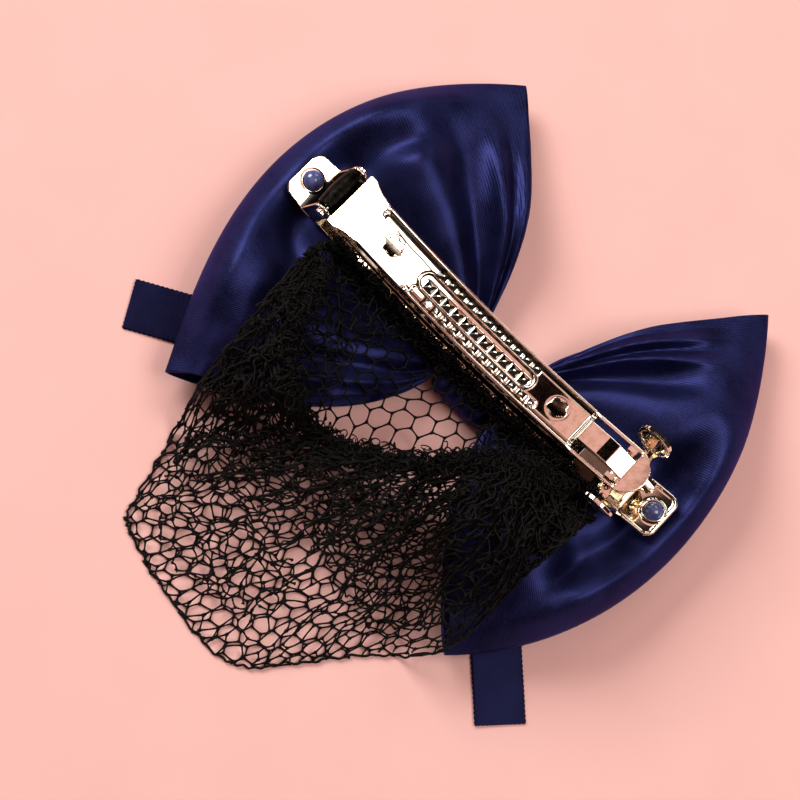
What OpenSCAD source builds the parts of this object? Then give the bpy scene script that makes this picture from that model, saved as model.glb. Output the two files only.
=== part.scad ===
// Satin bow on a spring barrette with a snood net for a bun. It lies face down, with the clip on top.
// Millimetres. +X runs along the clip from its hinge to its clasp, +Y points away from the net, and +Z
// points from the table to the wearer's head. The origin is on the table, under the middle of the whole.

/* [Clip] */
// Length of the base plate, end to end
plate_len = 80.8; // [79:0.1:82]
// Width of the base plate
plate_w = 8.6; // [8.4:0.1:9]
// Thickness of the plate and the arm
sheet_t = 0.6; // [0.5:0.05:0.7]
// Radius that the plate is bent to, for the curve of a head
clip_radius = 136; // [130:1:150]
// Distance from the plate's middle layer to the arm's middle layer
arm_rise = 8.5; // [8.3:0.1:9]
// Width of the arm
arm_w = 8.3; // [8.1:0.1:8.5]
// Width of the arm's flared end at the hinge
flare_w = 10.4; // [9.6:0.1:10.8]
// Diameter of the hinge pin
pin_d = 1.2; // [1.1:0.05:1.3]
// Width of the tension bar
bar_w = 5; // [4.6:0.1:5.2]
// Diameter of each clasp ear's round finger pad
pad_d = 6.4; // [5.8:0.1:6.8]
// Lean of each clasp ear's stem away from upright, in degrees
ear_lean = 38; // [34:1:40]
// Lean of each clasp ear's finger pad, in degrees
pad_lean = 9; // [6:1:14]

/* [Bow] */
// Thickness of the folded satin
satin_t = 0.7; // [0.6:0.05:0.8]
// How far the satin puffs up beside the clip
puff = 4; // [3:0.1:4.5]
// Width of the knot band along the clip
knot_w = 11.6; // [10.5:0.1:12]
// Size of the knot band across the clip
knot_across = 15.2; // [14.8:0.1:15.6]
// Height of the knot band
knot_h = 6.9; // [6.8:0.05:7]

/* [Tails] */
// Width of the narrow ribbon
tail_w = 8.6; // [8:0.1:9]
// Thickness of the narrow ribbon
tail_t = 0.4; // [0.3:0.05:0.5]

/* [Net] */
// Thickness that the two layers of net take up
net_t = 0.6; // [0.5:0.05:0.7]
// How far the elastic edge stands off the layer under it
bag_loft = 7.5; // [7.2:0.1:7.8]
// Diameter of the gathered elastic edge
elastic_d = 1.8; // [1.6:0.1:2]

/* [Hidden] */

// Where the middle of the clip stands in the row's frame
clip_x = 0.16;
clip_y = 11.35;
fine = 64;

// The clip's layers are arcs about one centre above the object
plate_z = 7.6;
arc_top = plate_z + clip_radius;
arm_radius = clip_radius - arm_rise;
plate_end = plate_len / 2;
corner_r = 1.8;
tab_hole_r = 1.5;
tab_hole_x = 38;

// Hinge
pin_x = -33;
pin_rise = 7.3;
lug_x = pin_x / (1 - pin_rise / clip_radius);
pin_gap = 0.05;
curl_r = 1.5;
curl_w = 7.4;
lug_t = 0.55;
lug_inner = 4;
lug_r = 1.45;

// Arm
arm_end = 30;
tip_r = 4.1;
tip_x = 29.2;
flange_h = 1;
window = [20.8, 30];
bridge_w = 3.9;
bridge_h = 1.9;
rail_w = 0.8;
tooth_pitch = 2.1;

// Clasp, measured from the plate's middle layer at clasp_x
clasp_x = 31.7;
seat_half = 3.4;
seat_base = 0.35;
seat_t = 0.45;
ear_y = 3.8;
ear_z = 0.75;
ear_t = 0.5;
root_r = 0.32;
hook_y = 2.45;
hook_t = 0.4;
lip = 0.4;

// Bow, in the clip's own place: left and right as seen with the net below
knot_x = 3.6;
knot_y = -0.7;
knot_wall = 1;
neck_low = 1.5;
neck_top = 5.4;
mid_z = 5;
under_clip = 0.6;
tip_drop = 0.42;
fold_start = 0.7;
left_outer = [[-33.5, -37.5], [-50, -20.5], [-52, 6.4], [-25.2, 40.2]];
right_outer = [[30, -38.8], [49, -20.5], [54, 12.6], [30.8, 41.1]];
loop_stations = 26;
loop_steps = 20;

// Tails: the middle of the cut end, and the direction from the knot in degrees
tail_left = [-45.8, -32.7];
tail_left_turn = 209.2;
tail_right = [44.6, -39.7];
tail_right_turn = -43.8;

// Net: its outline, its elastic edge and its gathered heading, from the hinge end round to the clasp end
bag_edge = [
    [-30, -6], [-29.5, -22], [-28, -35.5], [-25, -46.3], [-21.5, -57.6], [-11, -61.8],
    [2, -63.8], [9, -61.8], [14, -55.6], [22, -46], [29.5, -38.2], [30, -22], [31.5, -8]
];
rim_edge = [
    [-27.5, -8.5], [-25.5, -17], [-21.5, -26], [-15, -29.5], [-8, -29], [-2, -26.5], [3, -23.5],
    [8, -20], [12, -16.5], [16, -13.5], [20, -11.5], [24, -10], [28, -9]
];
heading_from = -29;
heading_to = 24;
heading_y = -5.6;
net_clear = 0.75;
bag_steps = 9;
bag_stations = 4 * (len(bag_edge) - 1);

function smooth(a, b, x) = let (t = min(1, max(0, (x - a) / (b - a)))) t * t * (3 - 2 * t);
function blend(a, b, t) = a + (b - a) * t;
function arc_z(x, r) = arc_top - sqrt(r * r - x * x);
function bezier(p, t) =
    pow(1 - t, 3) * p[0] + 3 * pow(1 - t, 2) * t * p[1] + 3 * (1 - t) * t * t * p[2] + t * t * t * p[3];

// A smooth curve through a list of points, for t from 0 to 1
function through(p, t) =
    let (
        n = len(p) - 1,
        i = min(n - 1, floor(t * n)),
        f = t * n - i,
        a = p[max(0, i - 1)], b = p[i], c = p[i + 1], d = p[min(n, i + 2)]
    )
    0.5 * (2 * b + (c - a) * f + (2 * a - 5 * b + 4 * c - d) * f * f + (3 * b - a - 3 * c + d) * f * f * f);

// Height of the bow's upper satin: under the clip along y = 0, and puffed up on both sides of it
function satin_top(x, y) =
    let (
        away = smooth(0, 9, abs(x - knot_x) - knot_w / 2),
        below_clip = arc_z(x, clip_radius) - sheet_t / 2 - under_clip,
        beside = max(0, abs(y) - 3.5) / 9,
        rise = blend(neck_top, below_clip, away) + puff * away * (1 - exp(-beside * beside))
    )
    rise * (1 - tip_drop * smooth(18, 37, abs(y)));

// Height of the bow's lower satin, which lies on the table but lifts over the tails
function satin_low(x, y) =
    let (near = 1 - smooth(0, 10, abs(x - knot_x) - knot_w / 2))
    max(neck_low * near, 0.75 * smooth(3, 8, -y));

// How far a point is past a line through a, with the direction turn in degrees
function past(x, y, a, turn) = (x - a[0]) * sin(turn) - (y - a[1]) * cos(turn);

// Height of the layer of net that lies on the bow and drops to the table between the loops
function drape(x, y) =
    let (
        beyond = min(past(x, y, [2, -11.4], 41), past(x, y, [6, -12.1], -50.5)),
        on_bow = 1 - smooth(0.3, 6, beyond),
        over_knot = knot_h * (1 - smooth(0, 6, abs(x - knot_x) - knot_w / 2))
    )
    (max(satin_top(x, y), over_knot) + net_clear) * on_bow;

// A closed solid from rings of points, each ring a closed loop of the same length, with caps that are
// strips: the first half of a ring is the sheet's outside and the second half is its inside, backwards
module folded_sheet(rings) {
    n = len(rings[0]);
    m = len(rings);
    half = n / 2;
    sides = [
        for (j = [0 : m - 2], i = [0 : n - 1])
            [j * n + i, j * n + (i + 1) % n, (j + 1) * n + (i + 1) % n, (j + 1) * n + i]
    ];
    first = [for (i = [0 : half - 2]) [i + 1, i, n - 1 - i, n - 2 - i]];
    last = [for (q = first) [for (k = [3 : -1 : 0]) q[k] + (m - 1) * n]];
    quads = concat(sides, first, last);
    triangles = [for (q = quads) each [[q[0], q[1], q[2]], [q[0], q[2], q[3]]]];
    polyhedron(points = [for (r = rings) each r], faces = triangles, convexity = 6);
}

// Puts its children on an arc of the clip at x, with +Z towards the arc's centre
module on_arc(x, r) {
    translate([x, 0, arc_z(x, r)]) rotate([0, -asin(x / r), 0]) children();
}

// A strip of sheet bent to radius r, from x0 to x1 and from y0 to y1
module bent_strip(r, t, x0, x1, y0, y1) {
    intersection() {
        translate([0, y1, arc_top]) rotate([90, 0, 0]) linear_extrude(y1 - y0) difference() {
            circle(r + t / 2, $fn = 200);
            circle(r - t / 2, $fn = 200);
        }
        translate([x0, y0 - 1, 0]) cube([x1 - x0, y1 - y0 + 2, 40]);
    }
}

module rounded_plate(length, width, r, height) {
    difference() {
        translate([-length / 2, -width / 2, 0]) cube([length, width, height]);
        for (a = [-1, 1], b = [-1, 1])
            translate([a * (length / 2 - r), b * (width / 2 - r), -1]) difference() {
                translate([a > 0 ? 0 : -r - 1, b > 0 ? 0 : -r - 1, 0]) cube([r + 1, r + 1, height + 2]);
                translate([0, 0, -1]) cylinder(r = r, h = height + 4, $fn = fine);
            }
    }
}

module hinge_lug(side) {
    translate([0, side * (lug_inner + lug_t / 2), 0]) rotate([90, 0, 0])
        linear_extrude(lug_t, center = true) difference() {
            union() {
                translate([-lug_r, -sheet_t / 2]) square([2 * lug_r, pin_rise + sheet_t / 2]);
                translate([0, pin_rise]) circle(lug_r, $fn = fine);
            }
            translate([0, pin_rise]) circle(pin_d / 2 + 0.02, $fn = fine);
        }
}

module clip_base_plate() {
    color([0.93, 0.86, 0.72]) {
        difference() {
            intersection() {
                bent_strip(clip_radius, sheet_t, -plate_end, plate_end, -plate_w / 2, plate_w / 2);
                rounded_plate(plate_len, plate_w, corner_r, 40);
            }
            for (side = [-1, 1]) {
                on_arc(side * tab_hole_x, clip_radius)
                    translate([0, 0, -2]) cylinder(r = tab_hole_r, h = 4, $fn = fine);
                translate([pin_x - 2.2, side * plate_w / 2, 0]) cylinder(r = 0.5, h = 40, $fn = fine);
            }
            on_arc(clasp_x, clip_radius) translate([0, 0, -2]) cylinder(r = 0.92, h = 4, $fn = fine);
        }
        for (side = [-1, 1]) on_arc(lug_x, clip_radius) hinge_lug(side);
        for (side = [-1, 1]) on_arc(side * tab_hole_x, clip_radius) tab_rim();
    }
}

// The pressed rim round each hole in the plate's ends
module tab_rim() {
    translate([0, 0, sheet_t / 2 - 0.05]) difference() {
        cylinder(r = tab_hole_r + 0.45, h = 0.3, $fn = fine);
        translate([0, 0, -1]) cylinder(r = tab_hole_r, h = 3, $fn = fine);
    }
}

module arm_outline() {
    union() {
        polygon([
            [pin_x, -curl_w / 2], [pin_x + 1.8, -curl_w / 2], [pin_x + 1.8, -flare_w / 2],
            [pin_x + 2.9, -flare_w / 2], [pin_x + 3.6, -flare_w / 2 + 0.35], [pin_x + 4.8, -arm_w / 2 - 0.3],
            [pin_x + 6.5, -arm_w / 2], [arm_end, -arm_w / 2], [arm_end, arm_w / 2],
            [pin_x + 6.5, arm_w / 2], [pin_x + 4.8, arm_w / 2 + 0.3], [pin_x + 3.6, flare_w / 2 - 0.35],
            [pin_x + 2.9, flare_w / 2], [pin_x + 1.8, flare_w / 2], [pin_x + 1.8, curl_w / 2],
            [pin_x, curl_w / 2]
        ]);
        intersection() {
            translate([tip_x, 0]) circle(tip_r, $fn = 96);
            translate([tip_x, -arm_w / 2]) square([2 * tip_r, arm_w]);
        }
    }
}

module clip_arm() {
    half = arm_w / 2;
    tooth_x = [-12.4, 8.6];
    color([0.96, 0.9, 0.78]) difference() {
        union() {
            intersection() {
                bent_strip(arm_radius, sheet_t, pin_x, arm_end + 5, -flare_w / 2, flare_w / 2);
                linear_extrude(40) arm_outline();
            }
            for (side = [-1, 1])
                bent_strip(arm_radius + flange_h / 2, flange_h, pin_x + 6.5, window[1],
                    side > 0 ? half - 0.5 : -half, side > 0 ? half : -half + 0.5);
            on_arc(lug_x, clip_radius) translate([0, 0, pin_rise])
                rotate([90, 0, 0]) cylinder(r = curl_r, h = curl_w, center = true, $fn = fine);
            grip_teeth(tooth_x);
        }
        on_arc(lug_x, clip_radius) translate([0, 0, pin_rise])
            rotate([90, 0, 0]) cylinder(r = pin_d / 2 + pin_gap, h = flare_w + 2, center = true, $fn = fine);
        for (x = [-21.2, 15.3])
            on_arc(x, arm_radius) translate([0, 0, -3]) cylinder(r = 1.6, h = 6, $fn = fine);
        for (side = [-1, 1]) {
            inner = side > 0 ? bridge_w / 2 : -half + rail_w;
            translate([window[0], inner, 10]) cube([window[1] - window[0], half - rail_w - bridge_w / 2, 30]);
        }
        translate([window[0] + 0.01, -bridge_w / 2 - 0.01, 10])
            cube([window[1] - window[0] - 0.02, bridge_w + 0.02, 30]);
    }
    color([0.96, 0.9, 0.78]) on_arc((window[0] + window[1]) / 2, arm_radius) bridge();
}

// Three rows of small teeth pressed up along the middle of the arm
module grip_teeth(span) {
    count = round((span[1] - span[0]) / tooth_pitch);
    for (row = [-2.9, 0, 2.9], i = [0 : count])
        on_arc(span[0] + i * tooth_pitch, arm_radius)
            translate([0, row, sheet_t / 2 - 0.05]) rotate([90, 0, 0]) linear_extrude(1.1, center = true)
                polygon([[-0.75, 0], [0.75, 0], [0.1, 0.6]]);
}

// The raised strip in the arm's window, an arch from one end of the window to the other
module bridge() {
    span = (window[1] - window[0]) * 1.03 + 0.4;
    r = (span * span / 4 + bridge_h * bridge_h) / (2 * bridge_h);
    translate([0, 0, bridge_h - r]) intersection() {
        rotate([90, 0, 0]) linear_extrude(bridge_w, center = true) difference() {
            circle(r + sheet_t / 2, $fn = 200);
            circle(r - sheet_t / 2, $fn = 200);
        }
        translate([-span / 2, -bridge_w, r - bridge_h]) cube([span, 2 * bridge_w, 10]);
    }
}

module hinge_pin() {
    head = 0.5;
    reach = lug_inner + lug_t + 0.03;
    color([0.8, 0.76, 0.68]) on_arc(lug_x, clip_radius) translate([0, 0, pin_rise]) rotate([90, 0, 0]) {
        cylinder(r = pin_d / 2, h = 2 * reach + 0.2, center = true, $fn = fine);
        for (side = [-1, 1])
            translate([0, 0, side * (reach + head / 2)])
                cylinder(r = pin_d / 2 + 0.25, h = head, center = true, $fn = fine);
    }
}

// A leaf spring over the plate: it turns about its root by the hinge, and its far end stands higher
module tension_bar() {
    root_x = -29.5;
    tip = 22.5;
    lift = 1.9;
    color([0.88, 0.84, 0.76]) {
        on_arc(root_x, clip_radius) translate([0, 0, 0.85]) rotate([90, 0, 0])
            cylinder(r = 0.45, h = bar_w - 0.4, center = true, $fn = fine);
        on_arc(root_x, clip_radius) translate([0, 0, 0.85]) rotate([0, -lift, 0])
            rotate([0, asin(root_x / clip_radius), 0])
                translate([-root_x, 0, -arc_z(root_x, clip_radius)])
                    bent_strip(clip_radius, 0.5, root_x + 0.1, tip, -bar_w / 2, bar_w / 2);
    }
}

module clasp_seat() {
    color([0.78, 0.66, 0.44]) on_arc(clasp_x, clip_radius) difference() {
        union() {
            translate([-2.8, -seat_half, seat_base]) cube([5, 2 * seat_half, seat_t]);
            translate([2, 0.5, seat_base + 0.1]) cube([1.2, 1.9, seat_t - 0.1]);
            translate([3.2, 1.45, seat_base + 0.1]) cylinder(r = 0.95, h = seat_t - 0.1, $fn = fine);
        }
        translate([0, 0, -2]) cylinder(r = 0.92, h = 6, $fn = fine);
    }
}

// One side of the clasp's spring: a leaning stem with a round pad, and a hook that stands in the arm's slot
module clasp_ear() {
    pad_r = pad_d / 2;
    stem = 4.6;
    hook_top = arm_rise + sheet_t / 2 + 0.3;
    color([0.85, 0.78, 0.62]) on_arc(clasp_x, clip_radius) {
        translate([0, ear_y, ear_z]) rotate([0, 90, 0]) cylinder(r = root_r, h = 4.4, center = true, $fn = fine);
        translate([0, ear_y, ear_z]) rotate([-ear_lean, 0, 0]) {
            rotate([90, 0, 0]) linear_extrude(ear_t, center = true)
                polygon([[-2.2, 0], [-1.1, 1.9], [-1.1, 3.4], [-1.7, stem], [1.7, stem], [1.1, 3.4], [1.1, 1.9], [2.2, 0]]);
            translate([0, 0, stem]) rotate([ear_lean - pad_lean, 0, 0]) translate([0, 0, pad_r - 0.6]) {
                rotate([90, 0, 0]) cylinder(r = pad_r, h = ear_t, center = true, $fn = fine);
                rotate([90, 0, 0]) rotate_extrude($fn = fine)
                    translate([pad_r - 0.45, 0]) circle(0.42, $fn = 24);
            }
        }
        translate([-2, hook_y, 1]) cube([1.6, ear_y - hook_y, 0.35]);
        translate([-2, hook_y, 1]) cube([1.6, hook_t, hook_top - 1 + 0.35]);
        translate([-2, hook_y, hook_top]) cube([1.6, hook_t + lip, 0.35]);
    }
}

module clasp_ear_upper() {
    clasp_ear();
}

module clasp_ear_lower() {
    mirror([0, 1, 0]) clasp_ear();
}

module clasp_rivet() {
    color([0.82, 0.72, 0.5]) on_arc(clasp_x, clip_radius) {
        translate([0, 0, -sheet_t / 2]) cylinder(r = 0.9, h = sheet_t / 2 + seat_base + seat_t + 0.1, $fn = fine);
        translate([0, 0, seat_base + seat_t + 0.02]) cylinder(r = 1.4, h = 0.35, $fn = fine);
    }
}

// A drop of clear glue that has come up through the hole and set as a dome
module glue_dot(x, dome_r) {
    rim_top = sheet_t / 2 + 0.27;
    dome_h = 1.1;
    ball = (dome_r * dome_r + dome_h * dome_h) / (2 * dome_h);
    color([0.35, 0.42, 0.72, 0.8]) on_arc(x, clip_radius) {
        translate([0, 0, -sheet_t / 2 - 0.02]) cylinder(r = tab_hole_r - 0.02, h = rim_top + sheet_t / 2 + 0.05, $fn = fine);
        translate([0, 0, rim_top]) intersection() {
            translate([0, 0, dome_h - ball]) sphere(ball, $fn = fine);
            cylinder(r = dome_r + 1, h = 5, $fn = fine);
        }
        translate([0, 0, -sheet_t / 2 - 0.45]) cylinder(r = 2.2, h = 0.43, $fn = fine);
    }
}

module glue_dot_hinge_end() {
    glue_dot(-tab_hole_x, 1.7);
}

module glue_dot_clasp_end() {
    glue_dot(tab_hole_x, 1.6);
}

// The set glue between the knot and the plate
module glue_bead_middle() {
    color([0.8, 0.82, 0.86, 0.8]) translate([knot_x, 0, knot_h])
        cylinder(r = 2.6, h = plate_z - sheet_t / 2 - knot_h, $fn = fine);
}

// The line that the satin follows from the knot (u = 0) to the outer fold (u = 1), bottom edge to top edge
function loop_plan(outer, neck_x, bulge, u, v) =
    let (
        from = [neck_x, knot_y + blend(-5.7, 5.9, v)],
        to = bezier(outer, v),
        along = to - from,
        normal = [-along[1], along[0]] / norm(along),
        side = outer[0][0] > 0 ? 1 : -1,
        swell = (v > 0.5 ? bulge[1] : bulge[0]) * pow(abs(2 * v - 1), 2) * (v > 0.5 ? 1 : -1) * side
    )
    from + along * u + normal * swell * sin(180 * pow(u, 0.75));

// A loop's ring at v: the outside from the top of the neck round the fold to the bottom, then the inside
function loop_ring(outer, neck_x, bulge, v) =
    let (
        turns = [for (i = [0 : loop_steps]) -90 + 180 * i / loop_steps],
        reach = norm(bezier(outer, v) - [neck_x, knot_y]),
        point = function (turn, wall)
            let (
                u = cos(turn) * (1 - wall / reach),
                p = loop_plan(outer, neck_x, bulge, u, v),
                full = 1 - wall / reach,
                over = max(0, (u / full - fold_start) / (1 - fold_start)),
                open = sqrt(max(0, 1 - over * over)),
                high = satin_top(p[0], p[1]) - wall,
                low = satin_low(p[0], p[1]) + wall
            )
            [p[0], p[1], blend(mid_z, turn < 0 ? high : low, abs(turn) < 0.01 ? 0 : open)]
    )
    concat([for (t = turns) point(t, 0)], [for (i = [loop_steps : -1 : 0]) point(turns[i], satin_t)]);

module bow_loop(outer, neck_x, bulge, toward) {
    color([0.09, 0.12, 0.32]) {
        folded_sheet([
            for (j = [0 : loop_stations])
                loop_ring(outer, neck_x, bulge, (toward > 0 ? j : loop_stations - j) / loop_stations)
        ]);
        neck_from = min(neck_x - toward, knot_x - toward * 0.1);
        neck_to = max(neck_x - toward, knot_x - toward * 0.1);
        translate([neck_from, knot_y - 4.7, 1.9]) cube([neck_to - neck_from, 9.4, 3.1]);
    }
}

module bow_loop_left() {
    bow_loop(left_outer, knot_x - knot_w / 2 - 0.4, [5, 3.6], 1);
}

module bow_loop_right() {
    bow_loop(right_outer, knot_x + knot_w / 2 + 0.4, [3, 2.4], -1);
}

module knot_band() {
    color([0.08, 0.1, 0.28]) translate([knot_x - knot_w / 2, knot_y, knot_h / 2])
        rotate([90, 0, 90]) linear_extrude(knot_w) difference() {
            band_section(knot_across, knot_h, 2.4);
            band_section(knot_across - 2 * knot_wall, knot_h - 2 * knot_wall, 1.4);
        }
}

// A rectangle with round corners, drawn across the clip
module band_section(width, height, r) {
    square([width - 2 * r, height], center = true);
    square([width, height - 2 * r], center = true);
    for (a = [-1, 1], b = [-1, 1])
        translate([a * (width / 2 - r), b * (height / 2 - r)]) circle(r, $fn = fine);
}

module cinch_thread() {
    turn = 0.8;
    color([0.05, 0.06, 0.16]) for (i = [-1 : 1])
        translate([knot_x + i * turn - turn * 0.45, knot_y, 3.45]) rotate([90, 0, 90])
            linear_extrude(turn * 0.9) difference() {
                band_section(10.6, 4.3, 0.8);
                band_section(9.8, 3.5, 0.4);
            }
}

// A ribbon tail: from beside the knot to its cut end
module ribbon_tail(tip, turn, length) {
    color([0.09, 0.12, 0.3]) translate([tip[0], tip[1], 0]) rotate([0, 0, turn])
        translate([-length, -tail_w / 2, 0]) cube([length, tail_w, tail_t]);
}

module ribbon_tail_left() {
    ribbon_tail(tail_left, tail_left_turn, 48.1);
}

module ribbon_tail_right() {
    ribbon_tail(tail_right, tail_right_turn, 44.9);
}

// The bag's ring at v: over the upper layer from the elastic to the edge, and back along the lower layer
function bag_ring(v) =
    let (
        edge = through(bag_edge, v),
        rim = through(rim_edge, v),
        head = [blend(heading_from + 0.4, 30, v), heading_y],
        up = function (s, wall)
            let (p = blend(rim, edge, s * (1 - wall / 30)))
            [p[0], p[1], drape(p[0], p[1]) + 1.9 + bag_loft * (1 - smooth(0.2, 1, s)) * sin(180 * v) - wall],
        down = function (s, wall)
            let (p = blend(head, edge, s * (1 - wall / 30)))
            [p[0], p[1], drape(p[0], p[1]) + wall],
        steps = [for (i = [0 : bag_steps]) i / bag_steps],
        back = [for (i = [bag_steps : -1 : 0]) i / bag_steps]
    )
    concat(
        [for (s = steps) up(s, 0)], [for (s = back) down(s, 0)],
        [for (s = steps) down(s, net_t)], [for (s = back) up(s, net_t)]
    );

module net_bag() {
    color([0.03, 0.03, 0.03]) folded_sheet([for (j = [0 : bag_stations]) bag_ring(j / bag_stations)]);
}

// The elastic edge, swept along the rim as a tube
module net_elastic() {
    sides = 8;
    count = 48;
    r = elastic_d / 2;
    place = function (v)
        let (p = through(rim_edge, v), q = through(bag_edge, v), in = (p - q) / norm(p - q) * (r + 0.4))
        [p[0] + in[0], p[1] + in[1], drape(p[0], p[1]) + 1.75 + bag_loft * sin(180 * v)];
    rings = [
        for (j = [0 : count])
            let (
                v = 0.03 + 0.94 * j / count,
                at = place(v),
                ahead = place(v + 0.005) - place(v - 0.005),
                flat = [ahead[1], -ahead[0], 0] / norm([ahead[0], ahead[1]]),
                up = cross(flat, ahead) / norm(ahead)
            )
            [for (k = [0 : sides - 1]) at + r * (cos(360 * k / sides) * flat + sin(360 * k / sides) * up)]
    ];
    points = [for (ring = rings) each ring];
    walls = [
        for (j = [0 : count - 1], k = [0 : sides - 1])
            each [
                [j * sides + k, (j + 1) * sides + k, (j + 1) * sides + (k + 1) % sides],
                [j * sides + k, (j + 1) * sides + (k + 1) % sides, j * sides + (k + 1) % sides]
            ]
    ];
    start = [for (k = [0 : sides - 1]) k];
    end = [for (k = [sides - 1 : -1 : 0]) count * sides + k];
    color([0.02, 0.02, 0.02]) polyhedron(points = points, faces = concat(walls, [start, end]), convexity = 6);
}

// The net's gathered top edge, which lies on the plate beside the tension bar
module net_heading() {
    color([0.04, 0.04, 0.04])
        bent_strip(clip_radius - sheet_t / 2 - 0.35, 0.5, heading_from, heading_to, heading_y + 0.2, -2.85);
}

// Thread over the heading, one bar stitch every few millimetres
module heading_stitches() {
    color([0.02, 0.02, 0.02]) for (x = [heading_from + 2 : 4 : heading_to - 1])
        on_arc(x, clip_radius) translate([-0.25, heading_y + 0.6, sheet_t / 2 + 0.62]) cube([0.5, 1.8, 0.25]);
}

module place() {
    translate([clip_x, clip_y, 0]) children();
}

place() clip_base_plate();
place() clip_arm();
place() hinge_pin();
place() tension_bar();
place() clasp_seat();
place() clasp_ear_upper();
place() clasp_ear_lower();
place() clasp_rivet();
place() glue_dot_hinge_end();
place() glue_dot_clasp_end();
place() glue_bead_middle();
place() bow_loop_left();
place() bow_loop_right();
place() knot_band();
place() cinch_thread();
place() ribbon_tail_left();
place() ribbon_tail_right();
place() net_bag();
place() net_elastic();
place() net_heading();
place() heading_stitches();
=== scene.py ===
# %% [markdown]
# # A satin bow hair clip with a snood net
# The clip lies face down: a folded navy satin bow, glued and tied to a curved spring clip, with a black
# net bag that holds a bun of hair. The frame gives every place and every joint, and this script
# gives the looks. All shapes below are worked out in millimetres from the middle of the clip, and moved
# into the frame when they become meshes.

import bpy
import numpy as np
from mathutils import Matrix, Vector


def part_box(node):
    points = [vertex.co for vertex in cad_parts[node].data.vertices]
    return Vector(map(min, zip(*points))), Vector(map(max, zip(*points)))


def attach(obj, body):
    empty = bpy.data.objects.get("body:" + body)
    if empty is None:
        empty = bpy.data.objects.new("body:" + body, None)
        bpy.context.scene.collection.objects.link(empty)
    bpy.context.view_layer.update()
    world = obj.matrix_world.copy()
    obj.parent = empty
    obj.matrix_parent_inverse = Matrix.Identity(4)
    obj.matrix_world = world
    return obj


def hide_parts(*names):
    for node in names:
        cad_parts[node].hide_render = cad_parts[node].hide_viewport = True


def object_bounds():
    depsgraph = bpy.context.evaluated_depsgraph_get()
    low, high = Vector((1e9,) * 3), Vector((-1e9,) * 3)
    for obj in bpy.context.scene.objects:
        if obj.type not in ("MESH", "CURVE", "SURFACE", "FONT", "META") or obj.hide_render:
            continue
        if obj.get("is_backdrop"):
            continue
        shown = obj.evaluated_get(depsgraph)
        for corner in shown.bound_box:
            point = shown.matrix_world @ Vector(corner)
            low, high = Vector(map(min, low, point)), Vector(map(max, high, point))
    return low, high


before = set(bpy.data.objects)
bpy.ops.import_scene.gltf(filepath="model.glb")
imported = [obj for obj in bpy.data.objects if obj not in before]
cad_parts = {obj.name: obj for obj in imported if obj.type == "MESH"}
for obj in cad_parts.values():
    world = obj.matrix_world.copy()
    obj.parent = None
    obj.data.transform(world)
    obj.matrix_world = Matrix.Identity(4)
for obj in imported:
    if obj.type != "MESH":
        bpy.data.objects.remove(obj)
cad_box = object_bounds()
plate_low, plate_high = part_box("clip_base_plate")
MIDDLE = np.array([(plate_low.x + plate_high.x) / 2, (plate_low.y + plate_high.y) / 2, 0])
ARC_TOP = 143.6
PLATE_RADIUS, ARM_RADIUS = 136.0, 127.5
print("the clip's middle stands at", MIDDLE.round(5), "m; the frame has", len(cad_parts), "nodes")

# %% [markdown]
# ## Curves and heights that every soft piece shares
# The plate and the arm are arcs about one centre above the object, so one function gives the height of
# any point on the clip. The satin and the net are heights over the table, so they stay clear of the clip
# and of each other wherever they are drawn. A smooth step, a cubic curve and a curve through points are
# enough to describe all of them.

# %% Curves


def ease(start, end, x):
    """0 before start, 1 after end, and 3t^2 - 2t^3 between them."""
    t = np.clip((x - start) / (end - start), 0, 1)
    return t * t * (3 - 2 * t)


def mix(a, b, t):
    """a where t is 0, b where t is 1, and a straight line between."""
    return a + (b - a) * t


def arc_height(x, radius):
    """Height of a circle of that radius about the clip's centre, at x along the clip."""
    return ARC_TOP - np.sqrt(radius**2 - x**2)


def cubic(corners, t):
    """The Bezier curve of four corners: (1-t)^3 a + 3(1-t)^2 t b + 3(1-t) t^2 c + t^3 d."""
    a, b, c, d = np.array(corners, float)
    t = np.asarray(t)[..., None]
    return (1 - t) ** 3 * a + 3 * (1 - t) ** 2 * t * b + 3 * (1 - t) * t**2 * c + t**3 * d


def through(points, t):
    """A smooth curve through the points, for t from 0 to 1: each stretch is a cubic with the slope of its
    neighbours."""
    p = np.array(points, float)
    n = len(p) - 1
    i = np.minimum((np.asarray(t) * n).astype(int), n - 1)
    f = (np.asarray(t) * n - i)[..., None]
    a, b, c, d = p[np.maximum(i - 1, 0)], p[i], p[i + 1], p[np.minimum(i + 2, n)]
    return 0.5 * (2 * b + (c - a) * f + (2 * a - 5 * b + 4 * c - d) * f**2 + (3 * b - a - 3 * c + d) * f**3)


# %% Heights of satin and net
KNOT_X, KNOT_Y, KNOT_W = 3.6, -0.7, 11.6


def beside_knot(x):
    """Distance past the knot band's side, along the clip."""
    return np.abs(x - KNOT_X) - KNOT_W / 2


def satin_top(x, y):
    """Height of the upper satin: low under the clip, up by a bell-shaped puff beside it, and lower at the tips."""
    away = ease(0, 9, beside_knot(x))
    under_clip = arc_height(x, PLATE_RADIUS) - 0.9
    puff = 4 * away * (1 - np.exp(-(np.maximum(0, np.abs(y) - 3.5) / 9) ** 2))
    return (mix(5.4, under_clip, away) + puff) * (1 - 0.42 * ease(18, 37, np.abs(y)))


def satin_low(x, y):
    """Height of the lower satin: on the table, but lifted at the knot and over the tails."""
    return np.maximum(1.5 * (1 - ease(0, 10, beside_knot(x))), 0.75 * ease(3, 8, -y))


def past(x, y, point, turn):
    """How far a place is past a line through the point, at that turn in degrees."""
    turn = np.radians(turn)
    return (x - point[0]) * np.sin(turn) - (y - point[1]) * np.cos(turn)


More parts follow.
